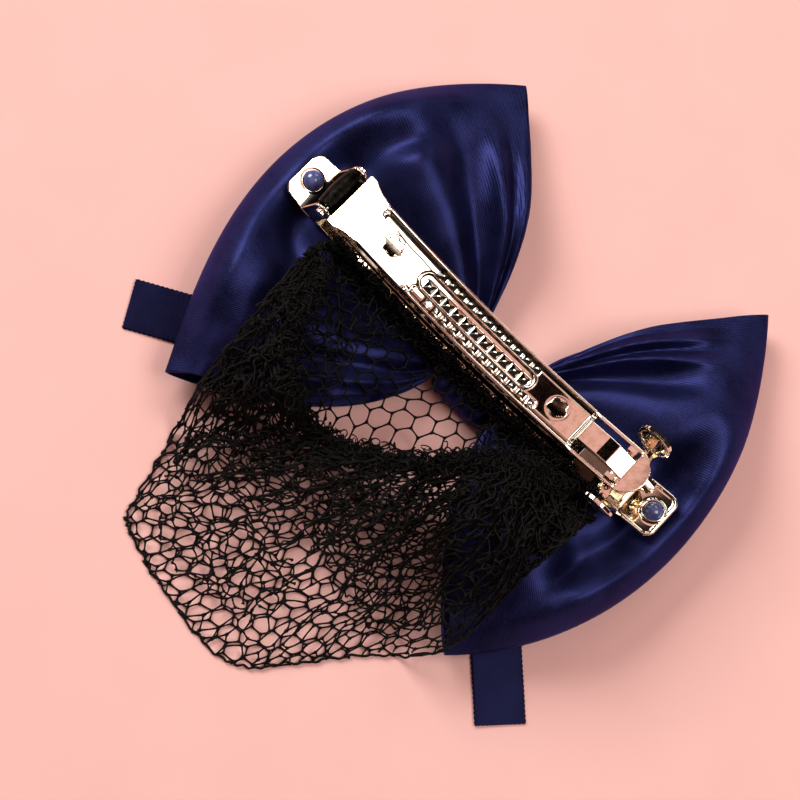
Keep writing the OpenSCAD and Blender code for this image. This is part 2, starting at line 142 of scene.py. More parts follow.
def drape(x, y):
    """Height of net that lies on the bow and drops to the table between the loops."""
    beyond = np.minimum(past(x, y, (2, -11.4), 41), past(x, y, (6, -12.1), -50.5))
    on_knot = 6.9 * (1 - ease(0, 6, beside_knot(x)))
    return (np.maximum(satin_top(x, y), on_knot) + 0.75) * (1 - ease(0.3, 6, beyond))


print("satin stands", round(float(satin_top(-30.0, 14.0)), 1), "mm high beside the clip's hinge end")

# %% [markdown]
# ## From arrays to meshes
# Each surface is a grid of points, so its faces are the squares of the grid. A strand of yarn is a ring
# of points carried along a path. A pressed metal part is a grid as well, trimmed to its outline: corners
# close to the outline slide on to it, and squares outside it are dropped, which gives clean edges and
# round holes without any cutting.

# %% Mesh makers


def new_piece(name, points, faces, uv=None, uv_faces=None):
    """A smooth mesh object of points in millimetres from the clip's middle, with a map in the same units."""
    mesh = bpy.data.meshes.new(name)
    mesh.from_pydata((points.reshape(-1, 3) * 0.001 + MIDDLE).tolist(), [], [list(f) for f in faces])
    mesh.polygons.foreach_set("use_smooth", np.ones(len(mesh.polygons), bool))
    if uv is not None:
        layer = mesh.uv_layers.new(name="cloth")
        layer.data.foreach_set("uv", uv.reshape(-1, 2)[np.asarray(uv_faces).ravel()].ravel() * 0.01)
    mesh.update()
    piece = bpy.data.objects.new(name, mesh)
    bpy.context.scene.collection.objects.link(piece)
    print(f"{name}: {len(mesh.vertices)} points, {len(mesh.polygons)} faces")
    return piece


def squares(rows, columns, wrap=0):
    """Corner numbers of each square of a grid of points; wrap joins the last column to the first."""
    index = np.arange(rows * columns).reshape(rows, columns)
    index = np.hstack([index, index[:, :wrap]])
    return np.stack([index[:-1, :-1], index[1:, :-1], index[1:, 1:], index[:-1, 1:]], -1).reshape(-1, 4)


def cloth(name, points, uv, wrap=0):
    """A sheet from a grid of points; uv has one column more than points when the sheet closes on itself."""
    rows, columns = points.shape[:2]
    return new_piece(name, points, squares(rows, columns, wrap), uv, squares(rows, columns + wrap))


def strands(name, paths, radii, sides=5, side=None):
    """Round strands: at every station of each path, a ring of points square to the path. paths is strands
    by stations by 3."""
    ahead = np.gradient(paths, axis=1)
    ahead /= np.linalg.norm(ahead, axis=2, keepdims=True) + 1e-9
    across = np.cross(ahead, [0, 0, 1.0]) if side is None else side
    across = across / (np.linalg.norm(across, axis=2, keepdims=True) + 1e-9)
    up = np.cross(across, ahead)
    turn = np.linspace(0, 2 * np.pi, sides, endpoint=False)
    ring = across[:, :, None] * np.cos(turn)[:, None] + up[:, :, None] * np.sin(turn)[:, None]
    points = paths[:, :, None] + ring * radii[:, :, None, None]
    count, stations = paths.shape[:2]
    first = np.arange(count)[:, None] * stations * sides
    walls = (first[:, :, None] + squares(stations, sides, 1)).reshape(-1, 4)
    ends = np.arange(sides)
    caps = np.vstack([first + ends, first + (stations - 1) * sides + ends[::-1]])
    length = np.linalg.norm(np.gradient(paths, axis=1), axis=2).cumsum(1)
    uv = np.stack(np.broadcast_arrays(length[:, :, None], turn), -1)
    faces = walls.tolist() + caps.tolist()
    corners = np.concatenate([walls.ravel(), caps.ravel()])
    return new_piece(name, points, faces, uv, corners)


def trimmed(low, high, step, inside):
    """A flat grid cut to an outline. inside(x, y) is how far a point is inside it. Returns x, y and the
    squares to keep."""
    rows, columns = (int(round((high[k] - low[k]) / step)) + 1 for k in (0, 1))
    x, y = np.meshgrid(np.linspace(low[0], high[0], rows), np.linspace(low[1], high[1], columns), indexing="ij")
    near = np.abs(inside(x, y)) < 0.6 * step
    for _ in range(3):
        depth, tiny = inside(x, y), 1e-3
        slope = [(inside(x + tiny, y) - depth) / tiny, (inside(x, y + tiny) - depth) / tiny]
        steep = np.maximum(slope[0] ** 2 + slope[1] ** 2, 0.2)
        x, y = (c - np.where(near, depth * s / steep, 0) for c, s in zip((x, y), slope))
    corners = squares(rows, columns)
    middle = inside(x.ravel()[corners].mean(1), y.ravel()[corners].mean(1))
    return x, y, corners[middle > 0]


def pressed(name, x, y, faces, z, thickness, painted_dark=0):
    """A piece of sheet metal: the trimmed grid lifted to its heights, with a wall below it. The last argument is
    1 where painted shade and painted dark reflections go, and the finish draws those places black."""
    used, renumbered = np.unique(faces, return_inverse=True)
    points = np.stack([x.ravel(), y.ravel(), z.ravel()], -1)[used]
    piece = new_piece(name, points, renumbered.reshape(-1, 4))
    dark = piece.data.attributes.new("painted_dark", "FLOAT", "POINT")
    dark.data.foreach_set("value", (np.clip(painted_dark, 0, 1) + 0 * x).ravel()[used])
    walled(piece, thickness)
    return piece


def walled(piece, thickness, offset=-1):
    """Gives a sheet its thickness, in millimetres, on the side away from its normals."""
    wall = piece.modifiers.new("wall", "SOLIDIFY")
    wall.thickness, wall.offset, wall.use_even_offset = thickness * 0.001, offset, True


# %% [markdown]
# ## Finishes
# Satin is a weave whose long floats all run one way, so its highlight is soft and blue and is stretched
# across the floats. The node material uses the piece's own map, in which one direction runs with the
# floats: a sine across them gives the fine ribs, noise breaks them up, and the specular tint keeps the
# shine blue. The metal is thin bright plating over pressed steel, so it is nearly a mirror, with faint
# waviness from the press and a little wear. The black in its grooves is painted shade and painted dark
# reflection, and it stays black from every side. The yarn is black, with a dull brown sheen painted on.

# %% Node helpers


def finish(name, colour, **sockets):
    """A new node material with its constant sockets set."""
    material = bpy.data.materials.new(name)
    material.use_nodes = True
    shader = material.node_tree.nodes["Principled BSDF"]
    shader.inputs["Base Color"].default_value = (*colour, 1)
    for socket, value in sockets.items():
        shader.inputs[socket.replace("_", " ")].default_value = value
    return material, material.node_tree, shader


def node(tree, kind, inputs=(), **settings):
    """Adds a node, sets it up, and links or fills its inputs."""
    made = tree.nodes.new(kind)
    for key, value in settings.items():
        setattr(made, key, value)
    for key, value in dict(inputs).items():
        if isinstance(value, bpy.types.NodeSocket):
            tree.links.new(value, made.inputs[key])
        else:
            made.inputs[key].default_value = value
    return made


def noise(tree, place, scale, detail=2.0):
    """Cloudy noise at a place, from 0 to 1."""
    return node(tree, "ShaderNodeTexNoise", {"Vector": place, "Scale": scale, "Detail": detail}).outputs["Fac"]


def ramp(tree, value, stops):
    """A colour ramp with stops of (position, colour)."""
    made = node(tree, "ShaderNodeValToRGB", {"Fac": value})
    for i, (position, colour) in enumerate(stops):
        stop = made.color_ramp.elements[i] if i < 2 else made.color_ramp.elements.new(position)
        stop.position, stop.color = position, (*colour, 1)
    return made.outputs["Color"]


def waves(tree, coordinate, period_mm, phase=0.0):
    """A sine of a map coordinate with that period, from -1 to 1."""
    rate = 2 * np.pi * 100 / period_mm
    turns = node(tree, "ShaderNodeMath", {0: coordinate, 1: rate, 2: phase}, operation="MULTIPLY_ADD")
    return node(tree, "ShaderNodeMath", {0: turns.outputs[0]}, operation="SINE").outputs[0]


def bump(tree, shader, height, strength, distance_mm):
    """Joins a height to the shader's normal."""
    made = node(tree, "ShaderNodeBump", {"Height": height, "Strength": strength, "Distance": distance_mm * 0.001})
    tree.links.new(made.outputs[0], shader.inputs["Normal"])


# %% Satin and ribbon


def woven(name, dark, light, rib_mm, twill, shine):
    """Cloth of fine ribs: ribs run across the map's second direction, and twill leans them over."""
    material, tree, shader = finish(
        name, dark, Roughness=0.36, Metallic=0.8, Anisotropic=0.5, Sheen_Weight=0.03,
        Sheen_Tint=(0.5, 0.3, 0.6, 1.0), Specular_IOR_Level=shine, Specular_Tint=(0.45, 0.4, 0.9, 1.0),
    )
    cloth_map = node(tree, "ShaderNodeUVMap", uv_map="cloth").outputs[0]
    place = node(tree, "ShaderNodeTexCoord").outputs["Object"]
    axes = node(tree, "ShaderNodeSeparateXYZ", {0: cloth_map}).outputs
    leaning = node(tree, "ShaderNodeMath", {0: axes["X"], 1: twill, 2: axes["Y"]}, operation="MULTIPLY_ADD").outputs[0]
    wander = noise(tree, place, 420.0)
    wandering = node(tree, "ShaderNodeMath", {0: wander, 1: 0.0022, 2: leaning}, operation="MULTIPLY_ADD").outputs[0]
    ribs = waves(tree, wandering, rib_mm)
    clouds = noise(tree, place, 160.0, 4.0)
    slubs = noise(tree, place, 2600.0, 2.0)
    mottle = node(tree, "ShaderNodeMath", {0: ribs, 1: 0.10, 2: clouds}, operation="MULTIPLY_ADD").outputs[0]
    grain = node(tree, "ShaderNodeMath", {0: slubs, 1: 0.6, 2: mottle}, operation="MULTIPLY_ADD").outputs[0]
    tree.links.new(ramp(tree, grain, [(0.4, dark), (1.1, light)]), shader.inputs["Base Color"])
    dull = node(tree, "ShaderNodeMapRange", {"Value": grain, 3: 0.33, 4: 0.48})
    tree.links.new(dull.outputs[0], shader.inputs["Roughness"])
    height = node(tree, "ShaderNodeMath", {0: slubs, 1: 0.5, 2: ribs}, operation="MULTIPLY_ADD").outputs[0]
    bump(tree, shader, height, 0.25, 0.03)
    tangent = node(tree, "ShaderNodeTangent", direction_type="UV_MAP", uv_map="cloth")
    tree.links.new(tangent.outputs[0], shader.inputs["Tangent"])
    return material


satin = woven("navy_satin", (0.0045, 0.005, 0.021), (0.021, 0.026, 0.108), 0.42, 0.12, 0.3)
ribbon_satin = woven("navy_ribbon", (0.003, 0.0036, 0.015), (0.008, 0.010, 0.04), 0.5, 0.8, 0.3)

# %% Yarn and thread


def yarn(name, colour, shine):
    """Twisted fibre: fine diagonal streaks lightened by a painted sheen, and a rough surface."""
    material, tree, shader = finish(name, colour, Roughness=0.6, Specular_IOR_Level=0.14)
    cloth_map = node(tree, "ShaderNodeUVMap", uv_map="cloth").outputs[0]
    axes = node(tree, "ShaderNodeSeparateXYZ", {0: cloth_map}).outputs
    around = node(tree, "ShaderNodeMath", {0: axes["Y"], 1: 0.16, 2: axes["X"]}, operation="MULTIPLY_ADD").outputs[0]
    twist = waves(tree, around, 0.5)
    fuzz = noise(tree, node(tree, "ShaderNodeTexCoord").outputs["Object"], 5000.0)
    twist_with_painted_sheen = node(tree, "ShaderNodeMath", {0: twist, 1: 0.2, 2: fuzz}, operation="MULTIPLY_ADD").outputs[0]
    # The second colour is a painted sheen, laid on the twist streaks; the same pattern also drives the bump.
    tree.links.new(ramp(tree, twist_with_painted_sheen, [(0.35, colour), (0.85, shine)]), shader.inputs["Base Color"])
    bump(tree, shader, twist_with_painted_sheen, 0.5, 0.05)
    return material


# Each yarn's second colour is its painted sheen.
net_black = yarn("black_net_yarn", (0.0004, 0.0004, 0.0004), (0.009, 0.0075, 0.006))
elastic_black = yarn("black_elastic_yarn", (0.0003, 0.0003, 0.0003), (0.0075, 0.0065, 0.0055))
tie_navy = yarn("navy_tie_thread", (0.008, 0.01, 0.03), (0.03, 0.04, 0.12))

# %% Plated metal and glue


def plated(name, colour, worn, roughness):
    """Bright plating: small waves from the press, specks where it has worn, and painted shade and painted dark
    reflections, drawn black, in the grooves.
    """
    material, tree, shader = finish(name, colour, Metallic=1.0, Roughness=roughness)
    place = node(tree, "ShaderNodeTexCoord").outputs["Object"]
    clouds = noise(tree, place, 900.0, 3.0)
    specks = noise(tree, place, 4200.0, 2.0)
    wear = node(tree, "ShaderNodeMath", {0: specks, 1: 0.55, 2: clouds}, operation="MULTIPLY_ADD").outputs[0]
    plating = ramp(tree, wear, [(0.7, colour), (1.05, worn)])
    # Painted shade and painted dark reflection: the base colour is scaled down to black by the mesh's darkening
    # attribute.
    painted_dark_fac = node(tree, "ShaderNodeAttribute", attribute_name="painted_dark").outputs["Fac"]
    bare = node(tree, "ShaderNodeMath", {0: 1.0, 1: painted_dark_fac}, operation="SUBTRACT").outputs[0]
    seen = node(tree, "ShaderNodeVectorMath", {0: plating, 3: bare}, operation="SCALE").outputs[0]
    tree.links.new(seen, shader.inputs["Base Color"])
    cloudy = node(tree, "ShaderNodeMapRange", {"Value": clouds, 3: roughness * 0.7, 4: roughness * 1.4})
    tree.links.new(cloudy.outputs[0], shader.inputs["Roughness"])
    bump(tree, shader, noise(tree, place, 260.0, 2.0), 0.1, 0.12)
    return material


arm_plating = plated("champagne_plating", (0.97, 0.91, 0.81), (0.80, 0.68, 0.50), 0.045)
plate_plating = plated("pale_plating", (0.95, 0.89, 0.78), (0.76, 0.62, 0.42), 0.05)
spring_plating = plated("yellow_spring_plating", (0.85, 0.78, 0.63), (0.50, 0.38, 0.20), 0.05)
leaf_plating = plated("oiled_spring_steel", (0.16, 0.13, 0.10), (0.05, 0.04, 0.03), 0.12)
# The knuckle's near black is a painted dark reflection, not the plating's own colour.
knuckle_painted_reflection = plated("painted_reflection_black_plating", (0.0025, 0.0022, 0.002), (0.012, 0.01, 0.008), 0.4)

glue, glue_tree, glue_shader = finish(
    "set_glue", (0.10, 0.13, 0.36), Roughness=0.12, IOR=1.47, Coat_Weight=0.6, Coat_Roughness=0.05,
    Subsurface_Weight=0.4, Subsurface_Scale=0.0015,
)
cloudiness = noise(glue_tree, node(glue_tree, "ShaderNodeTexCoord").outputs["Object"], 900.0, 3.0)
glue_tint = ramp(glue_tree, cloudiness, [(0.35, (0.055, 0.075, 0.23)), (0.75, (0.12, 0.15, 0.34))])
glue_tree.links.new(glue_tint, glue_shader.inputs["Base Color"])
print("finishes:", len(bpy.data.materials))

# %% [markdown]
# ## The nodes that keep their shape from the frame
# Small turned and pressed parts already have their shape in the frame: the pin, the leaf spring, the
# clasp's two ears, its rivet, the set glue and the thread. They only need a finish.

# %% Finish the small parts
kept = {
    "hinge_pin": plate_plating, "tension_bar": leaf_plating,
    "clasp_ear_upper": arm_plating, "clasp_ear_lower": arm_plating, "clasp_rivet": spring_plating,
    "glue_dot_hinge_end": glue, "glue_dot_clasp_end": glue, "glue_bead_middle": glue, "cinch_thread": tie_navy,
}
for name, material in kept.items():
    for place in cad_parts[name].material_slots:
        place.material = material
print("finished in place:", ", ".join(kept))

# %% [markdown]
# ## The satin loops
# On the real bow each loop is a wide satin band folded over on itself, with its ends gathered into the
# knot. A cushion shape would close the loop, but the real one is an open tunnel, so the surface is a
# fan of rings: one way runs along the outer fold from the lower tip to the upper tip, and the other runs
# from the top of the knot, round the fold and back underneath. Pleats are long bells of height that run
# out from the knot, a hem lies along each open edge, and a few dimples sink where the clip presses.

# %% Loops
LEFT_FOLD = [(-33.5, -37.5), (-41, -22), (-59.5, 10), (-25.2, 40.2)]
RIGHT_FOLD = [(30, -38.8), (49, -20.5), (54, 12.6), (30.8, 41.1)]


def bell(x, middle, width):
    """exp of minus the square of the distance from the middle over the width."""
    return np.exp(-(((x - middle) / width) ** 2))


def loop_plan(fold, neck_x, bulge, u, v):
    """Where the satin lies in plan: straight lines from the knot to the fold that swell apart between them."""
    start = np.stack(np.broadcast_arrays(neck_x + 0 * v, KNOT_Y + mix(-5.7, 5.9, v)), -1)
    end = cubic(fold, v)
    along = end - start
    reach = np.linalg.norm(along, axis=-1, keepdims=True)
    normal = np.stack([-along[..., 1], along[..., 0]], -1) / reach
    way = np.sign(fold[0][0]) * np.where(v > 0.5, bulge[1], -bulge[0]) * (2 * v - 1) ** 2
    swell = way * np.sin(np.pi * np.clip(u, 0, 1) ** 0.75)
    return start + along * u[..., None] + normal * swell[..., None], reach[..., 0]


def satin_loop(name, fold, neck_x, bulge, pleats, rolls, dimples):
    """The loop's grid: v runs along the fold, turn runs from the knot over the top, round the fold and back."""
    v, turn = np.meshgrid(np.linspace(0, 1, 230), np.radians(np.linspace(-90, 90, 170)), indexing="ij")
    u = np.cos(turn)
    plan, reach = loop_plan(fold, neck_x, bulge, u, v)
    x, y = plan[..., 0], plan[..., 1]
    relief = sum(h * bell(v, at, w) * ease(0.0, 0.12, u) * (1 - ease(far - 0.25, far, u)) for at, w, h, far in pleats)
    inward = reach * (1 - u)
    relief = relief + sum(h * bell(inward, at, w) * ease(a, a + 0.15, v) * (1 - ease(b - 0.15, b, v))
                          for at, w, h, a, b in rolls)
    relief = relief - sum(h * np.exp(-((x - cx) ** 2 + (y - cy) ** 2) / r**2) for cx, cy, r, h in dimples)
    relief = relief + 0.12 * np.sin(0.55 * x + 1.3 * np.sin(0.3 * y)) * np.sin(0.42 * y + 0.9)
    opened = np.sqrt(1 - np.clip((u - 0.7) / 0.3, 0, 1) ** 2)
    top, low = satin_top(x, y) + relief, satin_low(x, y)
    z = 5 + (np.where(turn < 0, top, low) - 5) * opened
    length = np.linalg.norm(np.diff(cubic(fold, np.linspace(0, 1, 60)), axis=0), axis=1).sum()
    uv = np.stack([reach * (1 - u) * np.sign(turn), v * length], -1)
    points = np.stack([x, y, z], -1)
    loop = cloth(name, points[::-1] if fold[0][0] > 0 else points, uv[::-1] if fold[0][0] > 0 else uv)
    walled(loop, 0.5)
    loop.data.materials.append(satin)
    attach(loop, "bow_and_plate")
    return loop


# %% Make both loops
# Pleats: place along the fold, width, height, reach outwards. Rolls: distance in from the fold,
# width, height, from, to. Dimples: x, y, radius, depth.
left_loop = satin_loop(
    "satin_loop_left", LEFT_FOLD, -2.6, (5, 3.6),
    pleats=[(0.77, 0.07, 1.8, 0.9), (0.875, 0.045, -2.6, 0.95), (0.94, 0.018, 1.1, 0.85),
            (0.968, 0.013, -0.8, 0.8), (0.99, 0.014, 0.7, 0.9), (0.66, 0.05, -1.6, 0.85),
            (0.2, 0.05, 0.8, 0.8),
            (0.12, 0.03, -0.9, 0.8), (0.05, 0.02, 0.6, 0.9)],
    rolls=[(3.6, 2.2, 1.5, -0.1, 1.0), (9.6, 2.8, -3.0, 0.32, 0.9), (13.0, 3.8, -2.8, 0.08, 0.5),
           (7.5, 2.0, -1.2, 0.5, 0.8)],
    dimples=[(-34.0, -9.5, 4.5, 1.6), (-38.0, 7.5, 3.5, 1.4)],
)
right_loop = satin_loop(
    "satin_loop_right", RIGHT_FOLD, 9.8, (3, 2.4),
    pleats=[(0.855, 0.04, -2.3, 0.8), (0.905, 0.016, 1.2, 0.85), (0.932, 0.011, -0.8, 0.8),
            (0.957, 0.012, 0.9, 0.85), (0.985, 0.012, -0.4, 0.9), (0.74, 0.06, 1.0, 0.9),
            (0.15, 0.05, 0.8, 0.8), (0.08, 0.02, -0.6, 0.8)],
    rolls=[(3.6, 2.2, 1.2, -0.1, 0.8), (8.4, 2.8, -3.0, 0.15, 0.8), (5.0, 3.0, 0.6, 0.8, 1.2)],
    dimples=[(33.5, -13.0, 3.6, 1.9), (38.0, 5.5, 3.4, 1.4)],
)
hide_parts("bow_loop_left")
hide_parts("bow_loop_right")

# %% [markdown]
# ## The knot band
# A short band of the same satin goes round the middle and is sewn shut behind, so its pleats run round
# it. It is a ring: a rounded box section carried along the clip, with the pleats as ripples of the
# section's size, and both edges tucked in.

# %% Knot band
def rounded_box(turn, half_y, half_z, square=3.6):
    """A superellipse: |y/a|^n + |z/b|^n = 1, at the angle turn."""
    c, s = np.cos(turn), np.sin(turn)
    r = (np.abs(c / half_y) ** square + np.abs(s / half_z) ** square) ** (-1 / square)
    return r * c, r * s


across, turn = np.meshgrid(np.linspace(-1, 1, 90), np.linspace(0, 2 * np.pi, 120, endpoint=False), indexing="ij")
ripple = 0.16 * np.cos(across * 19 + 0.8 * np.sin(2 * turn)) * (1 - across**8)
tuck = 0.9 * across**8
band_y, band_z = rounded_box(turn, 7.35 - tuck + ripple, 3.2 - tuck + ripple)
band_points = np.stack([KNOT_X + across * (KNOT_W / 2 - 0.1), KNOT_Y + band_y, 3.45 + band_z], -1)
wide_turn = np.linspace(0, 2 * np.pi, 121)
band_map = np.stack(np.broadcast_arrays(across[:, :1] * 9, 7 * wide_turn), -1)[..., ::-1]
knot = cloth("satin_knot_band", band_points[::-1], band_map[::-1], wrap=1)
walled(knot, 0.5)
knot.data.materials.append(satin)
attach(knot, "bow_and_plate")
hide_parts("knot_band")

# %% [markdown]
# ## The ribbon tails
# Two ends of narrow ribbon come out from under the loops. A ribbon is woven with small loops of weft at
# its edges, so the strip's edges are scalloped, and its cut end frays a little.

# %% Tails


def ribbon_tail(name, tip, turn, length, bend):
    """A flat strip whose half width is 4.3 mm less a small scallop, with a slow wave along it. Under the
    bow it bends aside by the cube of the distance from its tip."""
    s, t = np.meshgrid(np.linspace(0, 1, 420), np.linspace(-1, 1, 25), indexing="ij")
    along = s * length
    edge = 4.3 - 0.13 * (0.5 + 0.5 * np.cos(2 * np.pi * along / 0.8)) * np.abs(t) ** 10
    end = along + (s > 0.999) * 0.12 * np.sin(37 * t)
    lift = 0.42 + 0.12 * np.cos(2.2 * s + t) * ease(0.75, 1, s)
    lift = lift + 0.03 * np.cos(2 * np.pi * along / 0.8) * np.abs(t) ** 6
    c, n = np.cos(np.radians(turn)), np.sin(np.radians(turn))
    aside = edge * t + bend * (1 - s) ** 3
    x = tip[0] - length * c + end * c - aside * n
    y = tip[1] - length * n + end * n + aside * c
    tail = cloth(name, np.stack([x, y, lift], -1), np.stack([along, edge * t], -1))
    walled(tail, 0.3)
    tail.data.materials.append(ribbon_satin)
    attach(tail, "bow_and_plate")
    return tail


left_tail = ribbon_tail("ribbon_end_left", (-45.8, -32.7), 209.2, 48.1, -4.0)
right_tail = ribbon_tail("ribbon_end_right", (44.6, -39.7), -43.8, 44.9, 0.0)
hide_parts("ribbon_tail_left")
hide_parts("ribbon_tail_right")

# %% [markdown]
# ## The arm of the clip
# The arm is stamped from one strip: a flared end that curls round the pin, two round holes, a long
# oval with a row of teeth, small studs beside it, rolled edges that stiffen it, and a window with an
# arched strip at the clasp end. All of that is one trimmed grid with a height for every feature.

# %% Arm outline and relief


def flower(x, y, middle, radius, petals):
    """Distance outside a hole whose radius ripples: r = radius (1 + 0.15 cos(petals * angle))."""
    angle = np.arctan2(y, x - middle)
    return np.hypot(x - middle, y) - radius * (1 + 0.15 * np.cos(petals * angle + 0.5))


def arm_inside(x, y):
    """Distance inside the arm's outline: its width, its round tip, its holes and the window's two slots."""
    half = np.interp(x, [-31.4, -30.1, -29.4, -28.2, -26.3], [5.2, 5.2, 4.85, 4.45, 4.15])
    body = np.minimum(np.minimum(half - np.abs(y), x + 31.4), np.where(x > 29.2, 4.1 - np.hypot(x - 29.2, y), 9))
    slots = np.maximum(np.abs(x - 25.4) - 4.6, np.abs(np.abs(y) - 2.65) - 0.7)
    holes = np.minimum(flower(x, y, -21.2, 1.55, 6), flower(x, y, 15.3, 1.5, 5))
    return np.minimum(np.minimum(body, slots), holes)


def oval(x, y):
    """Distance from the long oval's outline, less than 0 inside it."""
    return np.hypot(np.maximum(np.abs(x + 2.5) - 10.65, 0), y) - 1.65


def teeth(x, y, first, count, pitch, row, base, height):
    """A row of four-sided pyramids: height times 1 less the larger of the two distances from the nearest middle."""
    near = first + np.clip(np.round((x - first) / pitch), 0, count - 1) * pitch
    return height * np.maximum(0, 1 - np.maximum(np.abs(x - near), np.abs(y - row)) / base)


def arm_relief(x, y):
    """Height of every pressed feature over the flat of the arm."""
    side = np.abs(y)
    rolled = ease(-26.2, -25.4, x) * (1 - 0.75 * ease(20.0, 21.5, x)) * (1 - ease(29.6, 30.2, x))
    lower = np.where(y > 0, 1, ease(-16.2, -14.6, x))
    h = 0.5 * ease(3.3, 3.5, side) * rolled * lower - 0.7 * ease(3.85, 4.15, side) ** 2 * rolled
    h = h - 0.3 * bell(side, 3.12, 0.2) * rolled * lower * (side < 3.3)
    h = h - 0.3 * bell(np.hypot(x + 25.4, y - 2.75), 0.4, 0.2) * (x < -25.3) * (y > 2.2)
    h = h + 0.32 * bell(oval(x, y), 0, 0.17) - 0.1 * ease(0, 0.3, -oval(x, y))
    h = h + teeth(x, y, -12.6, 11, 2.1, -0.4, 1.0, 0.8) * ease(0.15, 0.3, -oval(x, y))
    h = h + teeth(x, y, -12.3, 11, 2.1, 2.5, 0.85, 0.55) * ease(0.2, 0.35, oval(x, y))
    h = h + teeth(x, y, -11.4, 12, 2.1, -2.5, 0.8, 0.5) * ease(0.2, 0.35, oval(x, y)) * ease(-14, -6, x)
    trough = np.hypot(np.maximum(np.abs(x + 1.2) - 12.6, 0), y + 2.5) - 0.95
    h = h - 0.22 * bell(trough, 0, 0.16) * (y < -1.6) - 0.22 * bell(x, 20.3, 0.2) * (side < 3.1)
    lips = 0.04 * (bell(np.hypot(x + 21.2, y), 1.8, 0.15) + bell(np.hypot(x - 15.3, y), 1.75, 0.15))
    return h + bridge(x) * (side < 2.3) + lips


def bridge(x):
    """Height of the arched strip: a step up, nearly level, and a bend down to the tip. Three readings of
    the straight stretches are averaged, which rounds the bends."""
    at, height = [20.35, 20.6, 24.6, 26.9, 30.0], [0, 1.4, 1.42, 1.21, 0]
    return sum(np.interp(x + d, at, height) for d in (-0.15, 0, 0.15)) / 3 - 0.04 * bell(x, 28.2, 0.12)


def stripe(distance, width):
    """exp of minus the fourth power: nearly 1 inside the width and soon 0 outside it."""
    return np.exp(-((distance / width) ** 4))


def arm_painted_dark(x, y):
    """Where the arm gets painted shade and painted dark reflections, up to 1: the channel with its hook, the
    line past the round hole, the oval's outline, the side of each tooth that faces the hinge, and the foot of the
    arched strip."""
    side = np.abs(y)
    channel = stripe(y - 3.05, 0.3) * (x > -24.6) * (x < 20)
    hook = stripe(np.hypot(x + 24.6, y - 2.4) - 0.68, 0.27) * (x < -24.55) * (y > 1.9)
    past_hole = np.interp(x, [-22.6, -19.5, -16.5, -13.4], [2.2, 1.9, 1.95, 1.75])
    line = stripe(y - past_hole, 0.2) * (x > -22.6) * (x < -12.5)
    rims = stripe(oval(x, y) - 0.27, 0.12) + stripe(oval(x, y) + 0.32, 0.16) * (y > 0)
    low_lines = stripe(y + 3.15, 0.16) * (x > -14.5) * (x < 20) + stripe(y + 1.85, 0.12) * (np.abs(x + 2.5) < 11)
    # The side of each tooth that faces the hinge is painted shade.
    behind = 0
    for first, row, base in ((-12.6, -0.4, 1.0), (-12.3, 2.5, 0.85), (-11.4, -2.5, 0.8)):
        tooth = teeth(x, y, first, 11, 2.1, row, base, 1.0)
        ahead = x - first - np.round((x - first) / 2.1) * 2.1
        behind = behind + (tooth > 0.1) * (tooth < 0.75) * (ahead < -0.8 * np.abs(y - row))
    return channel + hook + line + rims + low_lines + 0.95 * behind + 0.85 * stripe(x - 20.5, 0.5) * (side < 3)


def on_arc(x, y, lift, radius):
    """Moves a flat layout on to the clip's curve: along the arc's normal by the lift."""
    lean = np.arcsin(x / radius)
    return x - lift * np.sin(lean), y, arc_height(x, radius) + lift * np.cos(lean)


# %% Press the arm
x, y, faces = trimmed((-31.5, -5.25), (33.45, 5.25), 0.13, arm_inside)
arm_x, arm_y, arm_z = on_arc(x, y, 0.3 + arm_relief(x, y), ARM_RADIUS)
# The last argument marks the arm's painted shade and painted dark reflections.
arm = pressed("arm_pressed_strip", arm_x, arm_y, faces, arm_z, 0.5, arm_painted_dark(x, y))
arm.data.materials.append(arm_plating)
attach(arm, "arm")
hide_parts("clip_arm")

# %% [markdown]
# ## The arm's knuckle
# At the hinge the strip curls round the pin. Its sides bow in a little because the strip is narrower
# where it was cut for the plate's two lugs. It gets a nearly black finish, which stands for the dark
# things that a bright curl would mirror. The real one need not be black.

# %% Knuckle
pin_low, pin_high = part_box("hinge_pin")
pin_at = ((np.array(pin_low) + np.array(pin_high)) / 2 - MIDDLE) * 1000
width, turn = np.meshgrid(np.linspace(-1, 1, 40), np.radians(np.linspace(62, 345, 70)), indexing="ij")
radius = 1.55 - 0.3 * width**2 - 0.1 * ease(200, 345, np.degrees(turn))
curl_points = np.stack([pin_at[0] + radius * np.cos(turn), 3.65 * width, pin_at[2] + radius * np.sin(turn)], -1)
curl = cloth("arm_knuckle", curl_points[::-1], np.stack([width, turn], -1)[::-1])
walled(curl, 0.4)
curl.data.materials.append(knuckle_painted_reflection)
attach(curl, "arm")

# %% [markdown]
# ## The base plate
# The plate under the bow is a plain curved strip with a round hole in each end, where the glue comes
# through, a slight flare beside the hinge, and two lugs that hold the pin. Its clasp end has a raised
# border.

# %% Plate
HOLE_AT, RIVET_AT = 38.0, 31.7


def plate_inside(x, y):
    """Distance inside the plate: a rounded strip that flares a little to the lugs, with three holes."""
    flare = 0.35 * ease(-38.5, -35.5, x) * (1 - ease(-34.5, -33.5, x))
    corner = np.hypot(np.maximum(np.abs(x) - 38.6, 0), np.maximum(np.abs(y) - 2.5 - flare, 0)) - 1.8
    holes = np.minimum(np.hypot(x + HOLE_AT, y) - 1.5, np.hypot(x - HOLE_AT, y) - 1.5)
    return np.minimum(-corner, np.minimum(holes, np.hypot(x - RIVET_AT, y) - 0.92))


